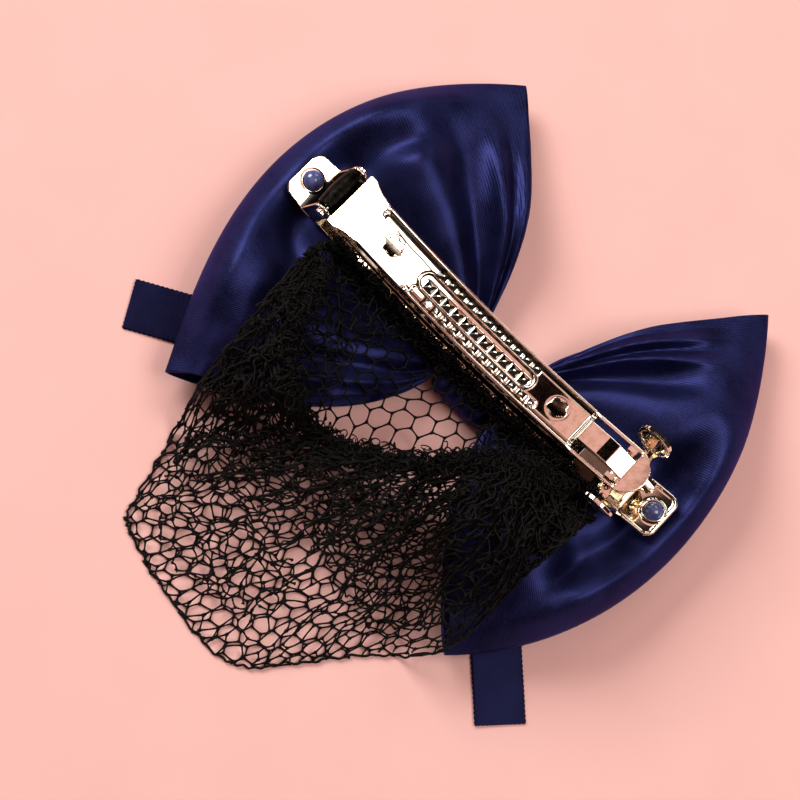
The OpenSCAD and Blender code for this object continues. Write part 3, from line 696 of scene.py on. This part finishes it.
def plate_relief(x, y):
    """A pressed rim round both holes, and a raised border round the clasp end."""
    rims = 0.06 * bell(np.hypot(x + HOLE_AT, y), 1.75, 0.2) + 0.24 * bell(np.hypot(x - HOLE_AT, y), 1.75, 0.2)
    border = 0.3 * bell(plate_inside(x, y), 0.3, 0.25) * ease(33.5, 35, x)
    return rims + border - 0.1 * np.maximum(0, -x - 35)


x, y, faces = trimmed((-40.5, -4.8), (40.5, 4.8), 0.15, plate_inside)
plate_x, plate_y, plate_z = on_arc(x, y, 0.3 + plate_relief(x, y), PLATE_RADIUS)
# Painted shade and painted dark reflection on the plate under the arm's window.
painted_dark_under_window = 0.8 * ease(16, 19, x) * (1 - ease(28.6, 29.2, x))
plate = pressed("base_plate", plate_x, plate_y, faces, plate_z, 0.6, painted_dark_under_window)
plate.data.materials.append(plate_plating)
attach(plate, "bow_and_plate")
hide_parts("clip_base_plate")

# %% Lugs
def lug_inside(across, up):
    """Distance inside a lug: a strip with a round top and a hole for the pin."""
    strip = np.minimum(1.45 - np.abs(across), np.where(up > 0, 1.45 - np.hypot(across, up), up + 7.4))
    return np.minimum(strip, np.hypot(across, up) - 0.62)


across, up, faces = trimmed((-1.5, -7.5), (1.5, 1.5), 0.1, lug_inside)
lean = np.arcsin(pin_at[0] / PLATE_RADIUS)
for side in (-1, 1):
    lug_x = pin_at[0] + across * np.cos(lean) - up * np.sin(lean)
    lug_z = pin_at[2] + across * np.sin(lean) + up * np.cos(lean)
    lug = pressed(f"plate_lug_{'lower' if side < 0 else 'upper'}", lug_x, 4.27 * side + 0 * lug_x, faces, lug_z, 0.55)
    lug.modifiers["wall"].offset = 0
    lug.data.materials.append(plate_plating)
    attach(lug, "bow_and_plate")

# %% [markdown]
# ## The clasp's seat
# Under the clasp a square of spring steel is riveted to the plate, and a rounded tab is folded up from
# it, which the closed arm's tip comes down beside.

# %% Seat and tab


def seat_inside(x, y):
    """Distance inside the seat: a square with round corners, less the rivet's hole."""
    corner = np.hypot(np.maximum(np.abs(x - 31.3) - 1.8, 0), np.maximum(np.abs(y) - 2.7, 0)) - 0.7
    return np.minimum(-corner, np.hypot(x - RIVET_AT, y) - 0.95)


def tab_inside(x, y):
    """Distance inside the tab: a strip 1.9 mm wide with a round end."""
    return 0.95 - np.hypot(np.maximum(np.abs(x - 33.6) - 1.3, 0), y - 2.75)


x, y, faces = trimmed((28.7, -3.5), (33.9, 3.5), 0.12, seat_inside)
seat_x, seat_y, seat_z = on_arc(x, y, 0.8 + 0.12 * bell(seat_inside(x, y), 0.35, 0.2), PLATE_RADIUS)
seat = pressed("clasp_seat_square", seat_x, seat_y, faces, seat_z, 0.42)
seat.data.materials.append(spring_plating)
x, y, faces = trimmed((31.2, 1.7), (35.9, 3.8), 0.1, tab_inside)
rise = 0.8 + 1.5 * ease(31.6, 33.0, x) * (1 - 0.75 * ease(32.6, 36.6, x)) - 0.25 * ((y - 2.75) / 0.95) ** 2
tab_x, tab_y, tab_z = on_arc(x, y, rise, PLATE_RADIUS)
tab = pressed("clasp_seat_tab", tab_x, tab_y, faces, tab_z, 0.3)
tab.data.materials.append(arm_plating)
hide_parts("clasp_seat")
for piece in (seat, tab):
    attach(piece, "bow_and_plate")

# %% [markdown]
# ## The net
# A snood net is knotted from fine yarn in six-sided cells, with a small knot where three threads meet.
# The lower layer lies flat on the bow and the table. At the outline it turns over, and the upper layer
# runs back to the elastic, which gathers it into pleats. More net is ruffled beside the elastic and
# crumpled over the loops. All of it is made one way: a flat pattern of cells, and a function that takes
# a place in the pattern to its place in space. A cloth simulation of several thousand knotted threads
# would be slow, so the gathers are worked out.

# %% Cells of the net
BAG_EDGE = [(-30, -6), (-29.5, -22), (-28, -35.5), (-25, -46.3), (-22.9, -54.3), (-21.6, -58.3), (-18, -59.9),
            (-10, -62), (2, -63.8), (8.5, -61.9), (14, -55.6), (22, -46), (29.5, -38.2), (30, -22), (31.5, -8)]
MOUTH_EDGE = [(-27.5, -8.5), (-25.5, -17), (-21.5, -26), (-15, -29.5), (-8, -29), (-2, -26.5), (3, -23.5),
              (8, -20), (12, -16.5), (16, -13.5), (20, -11.5), (24, -10), (28, -9)]


def cell_threads(step_a, step_b, reach):
    """Threads of a six-sided pattern. Knots stand at 1/3 and 2/3 of each diamond of the two steps, and
    each knot of the first kind has three threads, to the nearest three knots of the second kind."""
    a, b = np.array(step_a, float), np.array(step_b, float)
    i, j = (g.ravel()[:, None] for g in np.meshgrid(np.arange(-reach, reach), np.arange(-reach, reach)))
    first = i * a + j * b + (a + b) / 3
    ends = [first + (a + b) / 3, first + (a + b) / 3 - a, first + (a + b) / 3 - b]
    return np.concatenate([np.stack([first, end], 1) for end in ends])


def along_threads(ends):
    """Places along every thread, from one knot to the other, and how thick it is there."""
    t = np.array([0, 0.13, 0.5, 0.87, 1])
    places = ends[:, :1] + (ends[:, 1:] - ends[:, :1]) * t[:, None]
    thick = np.array([0.33, 0.17, 0.13, 0.17, 0.33])
    return places, np.tile(thick, (len(ends), 1))


def enclosed(points, outline):
    """True inside a closed outline: a ray to the right crosses it an odd number of times."""
    a, b = outline, np.roll(outline, -1, 0)
    x, y = points[..., 0][..., None], points[..., 1][..., None]
    spans = (a[:, 1] > y) != (b[:, 1] > y)
    cross = a[:, 0] + (y - a[:, 1]) * (b[:, 0] - a[:, 0]) / (b[:, 1] - a[:, 1] + 1e-12)
    return (spans & (x < cross)).sum(-1) % 2 == 1


def uneven(points, size):
    """A slow wander of places, as sums of sines, so that no two cells are quite alike."""
    x, y = points[..., 0], points[..., 1]
    return size * np.stack([np.sin(0.41 * y + 1.7 * np.sin(0.23 * x)) + 0.5 * np.sin(1.1 * x + 0.8 * y),
                            np.sin(0.37 * x + 1.4 * np.sin(0.29 * y)) + 0.5 * np.sin(0.9 * x - 1.2 * y)], -1)


# %% Lower layer
outline = np.vstack([through(BAG_EDGE, np.linspace(0, 1, 90)), [(31, -4.8), (-29.5, -4.8)]])
ends = cell_threads((2.91, 2.05), (2.60, -1.04), 38) + (0.4, -30.0)
ends = ends[enclosed(ends, outline).any(1)]
places, thick = along_threads(ends)
places = places + uneven(places, 0.22)
inside = enclosed(places, outline)
nearest = outline[np.argmin(((places[:, :, None] - outline[:90]) ** 2).sum(-1), -1)]
places = np.where(inside[..., None] | (places[..., 1:] > -4.8), places, nearest)
lower_paths = np.concatenate([places, (drape(places[..., 0], places[..., 1]) + 0.3)[..., None]], -1)
real = np.linalg.norm(np.diff(lower_paths, axis=1), axis=2).sum(1) > 0.5
lower_paths, lower_thick = lower_paths[real], thick[real]
print("lower layer:", len(lower_paths), "threads")

# %% Upper layer
v_table = np.linspace(0, 1, 400)
edge_line = through(BAG_EDGE, v_table)
edge_length = np.concatenate([[0], np.linalg.norm(np.diff(edge_line, axis=0), axis=1).cumsum()])
AROUND, DEPTH = 1.3 * edge_length[-1], 48.0


def bag_height(place, v, s):
    """Height of the upper layer: over the lower one, standing off it towards the elastic."""
    lying = drape(place[..., 0], place[..., 1]) + 0.5 + 1.4 * ease(0, 0.15, 1 - s)
    return lying + 7.5 * (1 - ease(0.2, 1, s)) * np.sin(np.pi * v)


def upper_layer(pattern):
    """Takes the flat pattern (length along the outline, depth towards the elastic) to the gathered layer.
    The pattern is larger than its place, and the spare goes into pleats that bunch towards the elastic."""
    along, depth = pattern[..., 0], np.clip(pattern[..., 1], 0, DEPTH)
    s = np.clip((1 - depth / DEPTH) ** 1.4 + 0.03 * np.sin(0.75 * depth + 0.12 * along) * np.sin(0.05 * along), 0, 1)
    bunch = (0.3 + 2.6 * (1 - s)) * np.sin(2 * np.pi * along / 12.3 + 1.3 * np.sin(along * 0.07) + 1.4 * s)
    v = np.interp(along * edge_length[-1] / AROUND + bunch, edge_length, v_table)
    place = mix(through(MOUTH_EDGE, v), through(BAG_EDGE, v), s[..., None])
    place = place + uneven(place, 0.55) * (s * (1 - s) * 4)[..., None]
    ruck = (0.25 + 0.5 * (1 - s)) * np.cos(2 * np.pi * along / 6.15)
    return np.concatenate([place, (bag_height(place, v, s) + ruck * (s < 0.99))[..., None]], -1)


def in_pattern(ends, length, depth):
    """Keeps the threads that lie wholly inside a pattern of that length and depth."""
    low, high = ends.min(1), ends.max(1)
    return ends[(low[:, 0] > 0) & (high[:, 0] < length) & (low[:, 1] > -1.5) & (high[:, 1] < depth)]


ends = in_pattern(cell_threads((3.4, 0.0), (1.7, 2.9), 110), AROUND, DEPTH + 1)
places, upper_thick = along_threads(ends)
upper_paths = upper_layer(places)
print("upper layer:", len(upper_paths), "threads on an outline of", round(edge_length[-1], 1), "mm")

# %% Gathers beside the elastic
RUFFLE, RUFFLE_DEPTH = 290.0, 20.0


def gathers(pattern):
    """The last rows before the elastic, drawn up to a quarter of their length: they fold back and forth
    across the rim and stand up in small rucks."""
    along, depth = pattern[..., 0], pattern[..., 1]
    v = np.clip(along / RUFFLE + 0.011 * np.sin(2 * np.pi * along / 7.4 + 0.3 * depth), 0, 1)
    rim, outer = through(MOUTH_EDGE, v), through(BAG_EDGE, v)
    room = np.linalg.norm(outer - rim, axis=-1)
    reach = np.minimum(depth * (0.75 + 0.35 * np.sin(along * 0.21)) - 1, room * 0.8)
    place = rim + (outer - rim) * (reach / room)[..., None] + uneven(rim * 2.3 + depth[..., None], 0.8)
    z = bag_height(place, v, reach / room) + 0.5 + 0.7 * np.sin(2 * np.pi * along / 5.3)
    return np.concatenate([place, z[..., None]], -1)


ends = in_pattern(cell_threads((3.2, 0.0), (1.6, 2.7), 110), RUFFLE, RUFFLE_DEPTH)
places, ruffle_thick = along_threads(ends)
ruffle_paths = gathers(places)
print("gathers:", len(ruffle_paths), "threads")

# %% Crumpled net over the loops and between them
LEFT_CRUMPLE = [(-28.5, -6), (-28.5, -21), (-26.5, -36), (-19, -40), (-12, -37), (-6, -31),
                (-12, -22), (-13, -12), (-6, -6)]
RIGHT_CRUMPLE = [(9, -6), (31, -6), (31, -12), (30, -21), (27.5, -36), (20, -44), (10, -43),
                 (-2, -38), (-4, -30), (6, -23), (14, -15), (8, -10)]
OPEN_CRUMPLE = [(-26.5, -24), (-23, -45), (-20, -56), (-9, -59.5), (2, -56), (8, -50), (-2, -38), (-14, -34)]


def crumpled(outline, shift, level, cell=1.12, push=0.5):
    """Net pushed together inside an outline: its cells, moved by a quick and a slow wander."""
    ends = cell * cell_threads((2.6, 0.4), (0.9, 2.3), 50) + shift
    ends = ends[enclosed(ends, np.array(outline, float)).all(1)]
    places, thick = along_threads(ends)
    places = places + push * (uneven(places * 1.6 + level, 0.8) + uneven(places * 4.3 - level, 0.3))
    x, y = places[..., 0], places[..., 1]
    height = drape(x, y) + level + 0.7 * np.sin(1.3 * x + level) * np.sin(1.1 * y)
    return np.concatenate([places, height[..., None]], -1), thick


crumples = [crumpled(LEFT_CRUMPLE, (0.3, -25), 1.4), crumpled(LEFT_CRUMPLE, (1.6, -24), 2.4),
            crumpled(RIGHT_CRUMPLE, (0.2, -25), 1.5), crumpled(RIGHT_CRUMPLE, (1.5, -26), 2.6),
            crumpled(OPEN_CRUMPLE, (0.7, -44), 1.6, 1.25, 0.5)]
print("crumpled net:", [len(c[0]) for c in crumples], "threads")

# %% Put the net together
both_paths, both_thick = np.concatenate([lower_paths, upper_paths]), np.concatenate([lower_thick, upper_thick])
net = strands("snood_net", both_paths, both_thick, sides=4)
gathered = strands("net_gathers", ruffle_paths, ruffle_thick, sides=4)
crumple = strands("net_crumples", *(np.concatenate([c[k] for c in crumples]) for k in (0, 1)), sides=4)
for piece in (net, gathered, crumple):
    piece.data.materials.append(net_black)
    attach(piece, "bow_and_plate")
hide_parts("net_bag")

t = np.linspace(0.0, 1, 500)
border_plan = through(BAG_EDGE, t) * (1 - 0.006 * np.abs(np.sin(150 * t)))[:, None]
border_plan = border_plan + uneven(through(BAG_EDGE, t) * 3.0, 0.16)
border_path = np.concatenate([border_plan, (drape(*border_plan.T) + 0.45)[:, None]], -1)[None]
border = strands("net_outline_thread", border_path, np.full((1, 500), 0.2), sides=6)
border.data.materials.append(net_black)
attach(border, "bow_and_plate")

# %% [markdown]
# ## The elastic and the gathered top edge
# The elastic is a cord with the net's last row wrapped tightly round it, so it looks like a rough rope
# with a frill of tiny loops. A core with several coils of yarn, each with its own uneven radius, gives
# that. The top edge of the net is gathered over the edge of the plate in the same way.

# %% Coils


def coil(line, turns, radius, wobble, seed, stations):
    """Yarn wound round a line: the line plus radius (cos a, sin a) in the plane square to it, where the
    radius wanders by a sum of sines. Returns the path and the direction out from the line."""
    t = np.linspace(0, 1, stations)
    base = np.stack([np.interp(t, np.linspace(0, 1, len(line)), line[:, k]) for k in range(3)], -1)
    ahead = np.gradient(base, axis=0)
    ahead /= np.linalg.norm(ahead, axis=1, keepdims=True)
    flat = np.cross(ahead, [0, 0, 1.0])
    flat /= np.linalg.norm(flat, axis=1, keepdims=True)
    up = np.cross(flat, ahead)
    angle = 2 * np.pi * turns * t + 0.6 * np.sin(47 * t + seed)
    size = radius * (1 + wobble * (0.6 * np.sin(turns * 2.3 * t + seed) + 0.4 * np.sin(turns * 5.1 * t + 2 * seed)))
    out = flat * np.cos(angle)[:, None] + up * np.sin(angle)[:, None]
    return base + out * size[:, None], out


def coils(name, line, plans, thread, core, stations=1500):
    """Several coils round one core, as one piece of strands."""
    wound = [coil(line, *plan, stations) for plan in plans]
    paths = np.stack([w[0] for w in wound])
    side = np.cross(np.gradient(paths, axis=1), np.stack([w[1] for w in wound]))
    piece = strands(name, paths, np.full(paths.shape[:2], thread), sides=4, side=side)
    at, given = np.linspace(0, 1, 300), np.linspace(0, 1, len(line))
    middle = np.stack([np.interp(at, given, line[:, k]) for k in range(3)], -1)
    t = np.linspace(0, 60, 300)
    uneven_core = core * (1 + 0.15 * np.sin(t * 1.7) + 0.1 * np.sin(t * 4.1))
    heart = strands(name + "_core", middle[None], uneven_core[None], sides=8)
    for each in (piece, heart):
        each.data.materials.append(elastic_black)
        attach(each, "bow_and_plate")
    return piece, heart


def strewn_loops(name, line, count, size, spread, seed):
    """Tiny loops of yarn strewn along a line: each is most of an oval on two directions drawn at random,
    set off from the line by a random step. The seed is fixed, so every run draws the same ones."""
    draw = np.random.default_rng(seed)
    middle = line[draw.integers(0, len(line), count)] + draw.normal(0, 1, (count, 3)) * spread
    first, other = draw.normal(size=(2, count, 3))
    first /= np.linalg.norm(first, axis=1, keepdims=True)
    normal = np.cross(first, other)
    normal /= np.linalg.norm(normal, axis=1, keepdims=True)
    second = np.cross(normal, first)
    turn = np.linspace(0, 1.75 * np.pi, 10)[:, None]
    radius = size * draw.uniform(0.55, 1.3, (count, 1, 1))
    paths = middle[:, None] + radius * (np.cos(turn) * first[:, None] + 0.75 * np.sin(turn) * second[:, None])
    side = np.broadcast_to(normal[:, None], paths.shape)
    piece = strands(name, paths, np.full(paths.shape[:2], 0.12), sides=4, side=side)
    piece.data.materials.append(elastic_black)
    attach(piece, "bow_and_plate")
    return piece


# %% Elastic edge
v = np.linspace(0.03, 0.97, 400)
mouth, edge = through(MOUTH_EDGE, v), through(BAG_EDGE, v)
toward = (mouth - edge) / np.linalg.norm(mouth - edge, axis=1, keepdims=True)
rim_line = np.concatenate([mouth + toward * 1.3, (drape(*mouth.T) + 1.75 + 7.5 * np.sin(np.pi * v))[:, None]], -1)
elastic, elastic_core = coils(
    "elastic_edge", rim_line,
    [(95, 0.6, 0.5, 0.3), (74, 0.8, 0.6, 2.1), (61, 0.95, 0.7, 4.4), (83, 0.7, 0.6, 5.9)], 0.11, 0.4,
)
frill = strewn_loops("elastic_frill", rim_line, 1700, 0.8, (1.0, 1.0, 0.6), 11)
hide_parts("net_elastic")

# %% Gathered top edge
x = np.linspace(-29, 31, 300)
head_line = np.stack([x, -4.4 + 0.2 * np.sin(1.1 * x), arc_height(x, PLATE_RADIUS) + 0.7], -1)
heading, heading_core = coils(
    "gathered_heading", head_line,
    [(58, 0.75, 0.35, 0.9), (43, 0.95, 0.45, 3.3), (67, 0.65, 0.3, 5.0)], 0.12, 0.35,
)
heading_frill = strewn_loops("heading_frill", head_line + (0, -1.1, 0.3), 900, 0.7, (0.3, 0.45, 0.5), 5)
x = np.linspace(-28.5, 29, 300)
stand = np.stack([x, -4.75 - 0.4 * ease(-14, -22, x), arc_height(x, PLATE_RADIUS) + 2.9 + 1.6 * ease(-12, -20, x)], -1)
side_frill = strewn_loops("side_frill", stand, 620, 0.75, (0.3, 0.28, 1.0), 8)
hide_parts("net_heading", "heading_stitches")

# %% [markdown]
# ## The sheets' sizes
# The loops, the knot, the tails and the net are cloth. The areas of both loops and of the net, and the
# knot's size, are fitted to the meshes: a real loop or band is cut larger and drawn together, and these
# meshes do not hold that gathered cloth.

# %% [markdown]
# ## Floor, light and camera
# A sheet of pale pink paper, a broad soft light high on the left, a second one on the right, a weak one
# on the far side, and a room that is pink overhead and dark low down. One small dark patch overhead is
# placed for this camera, so that the arm mirrors something black. A long lens looks almost straight
# down on the clip, tilted a little towards the net.

# %% Floor
paper, paper_tree, paper_shader = finish("pale_pink_paper", (0.88, 0.5, 0.45), Roughness=0.9)
paper_place = node(paper_tree, "ShaderNodeTexCoord").outputs["Object"]
fibres = noise(paper_tree, paper_place, 60.0, 5.0)
paper_tint = ramp(paper_tree, fibres, [(0.2, (0.86, 0.505, 0.455)), (0.8, (0.89, 0.535, 0.485))])
paper_tree.links.new(paper_tint, paper_shader.inputs["Base Color"])
bump(paper_tree, paper_shader, noise(paper_tree, paper_place, 1500.0, 3.0), 0.1, 0.05)
floor_x, floor_y = np.meshgrid(np.linspace(-900, 900, 9), np.linspace(-900, 900, 9), indexing="ij")
floor = cloth("paper_floor", np.stack([floor_x, floor_y, 0 * floor_x - 0.02], -1), np.stack([floor_x, floor_y], -1))
floor.data.materials.append(paper)
floor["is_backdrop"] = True

# %% Lights


def soft_light(name, direction, distance, size, power, colour):
    """A square light that stands off in a direction and faces the clip."""
    light = bpy.data.lights.new(name, "AREA")
    light.shape, light.size, light.energy, light.color = "SQUARE", size, power, colour
    lamp = bpy.data.objects.new(name, light)
    bpy.context.scene.collection.objects.link(lamp)
    away = Vector(direction).normalized()
    lamp.location = away * distance
    lamp.rotation_euler = (-away).to_track_quat("-Z", "Y").to_euler()
    return lamp


soft_light("broad_light", (-0.78, 0.12, 0.64), 1.1, 0.55, 11.0, (1.0, 0.97, 0.95))
soft_light("side_light", (0.488, 0.268, 1.0), 0.8, 0.42, 3.0, (1.0, 0.98, 0.96))
soft_light("far_light", (-0.16, 0.81, 0.56), 1.0, 0.4, 1.2, (1.0, 0.97, 0.94))
PATCH_TOWARD = (-0.143, 0.285, 0.948)
world = bpy.data.worlds.new("dim_room")
bpy.context.scene.world = world
world.use_nodes = True
room = world.node_tree
looking = node(room, "ShaderNodeTexCoord").outputs["Generated"]
upward = node(room, "ShaderNodeSeparateXYZ", {0: looking}).outputs["Z"]
sky = ramp(room, upward, [(0.862, (0.02, 0.014, 0.013)), (0.876, (0.80, 0.43, 0.38))])
gap = node(room, "ShaderNodeVectorMath", {0: looking, 1: PATCH_TOWARD}, operation="DISTANCE").outputs["Value"]
open_sky = node(room, "ShaderNodeMapRange", {"Value": gap, 1: 0.04, 2: 0.05}).outputs[0]
ceiling = node(room, "ShaderNodeVectorMath", {0: sky, 3: open_sky}, operation="SCALE")
room.links.new(ceiling.outputs[0], room.nodes["Background"].inputs["Color"])
room.nodes["Background"].inputs["Strength"].default_value = 1.0
bpy.context.scene.view_settings.view_transform = "Standard"

# %% Camera
LEAN = np.arctan(0.26)
FOCAL, SENSOR, VIEW_WIDTH = 110, 36, 128
up_in_view = np.array([0, np.cos(LEAN), np.sin(LEAN)])
toward_eye = np.array([0, -np.sin(LEAN), np.cos(LEAN)])
along_clip = np.array([1.0, 0, 0])
right = 0.716 * along_clip + 0.698 * up_in_view
top = -0.698 * along_clip + 0.716 * up_in_view
eye = bpy.data.cameras.new("camera")
eye.lens, eye.sensor_width, eye.clip_start = FOCAL, SENSOR, 0.01
camera = bpy.data.objects.new("camera", eye)
bpy.context.scene.collection.objects.link(camera)
look_at = np.array([0, 0, 13.3]) - 3.5 * along_clip - 15.5 * up_in_view
stand = (look_at + toward_eye * VIEW_WIDTH * FOCAL / SENSOR) * 0.001 + MIDDLE
axes = np.column_stack([right, top, toward_eye])
camera.matrix_world = Matrix([[*axes[k], stand[k]] for k in range(3)] + [[0, 0, 0, 1]])
bpy.context.scene.camera = camera
print("the camera stands", (stand * 1000).round(0), "mm from the origin")

# %% Write the sizes
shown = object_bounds()
for label, box in (("frame", cad_box), ("shown", shown)):
    print(label, [round(v * 1000, 1) for c in box for v in c])
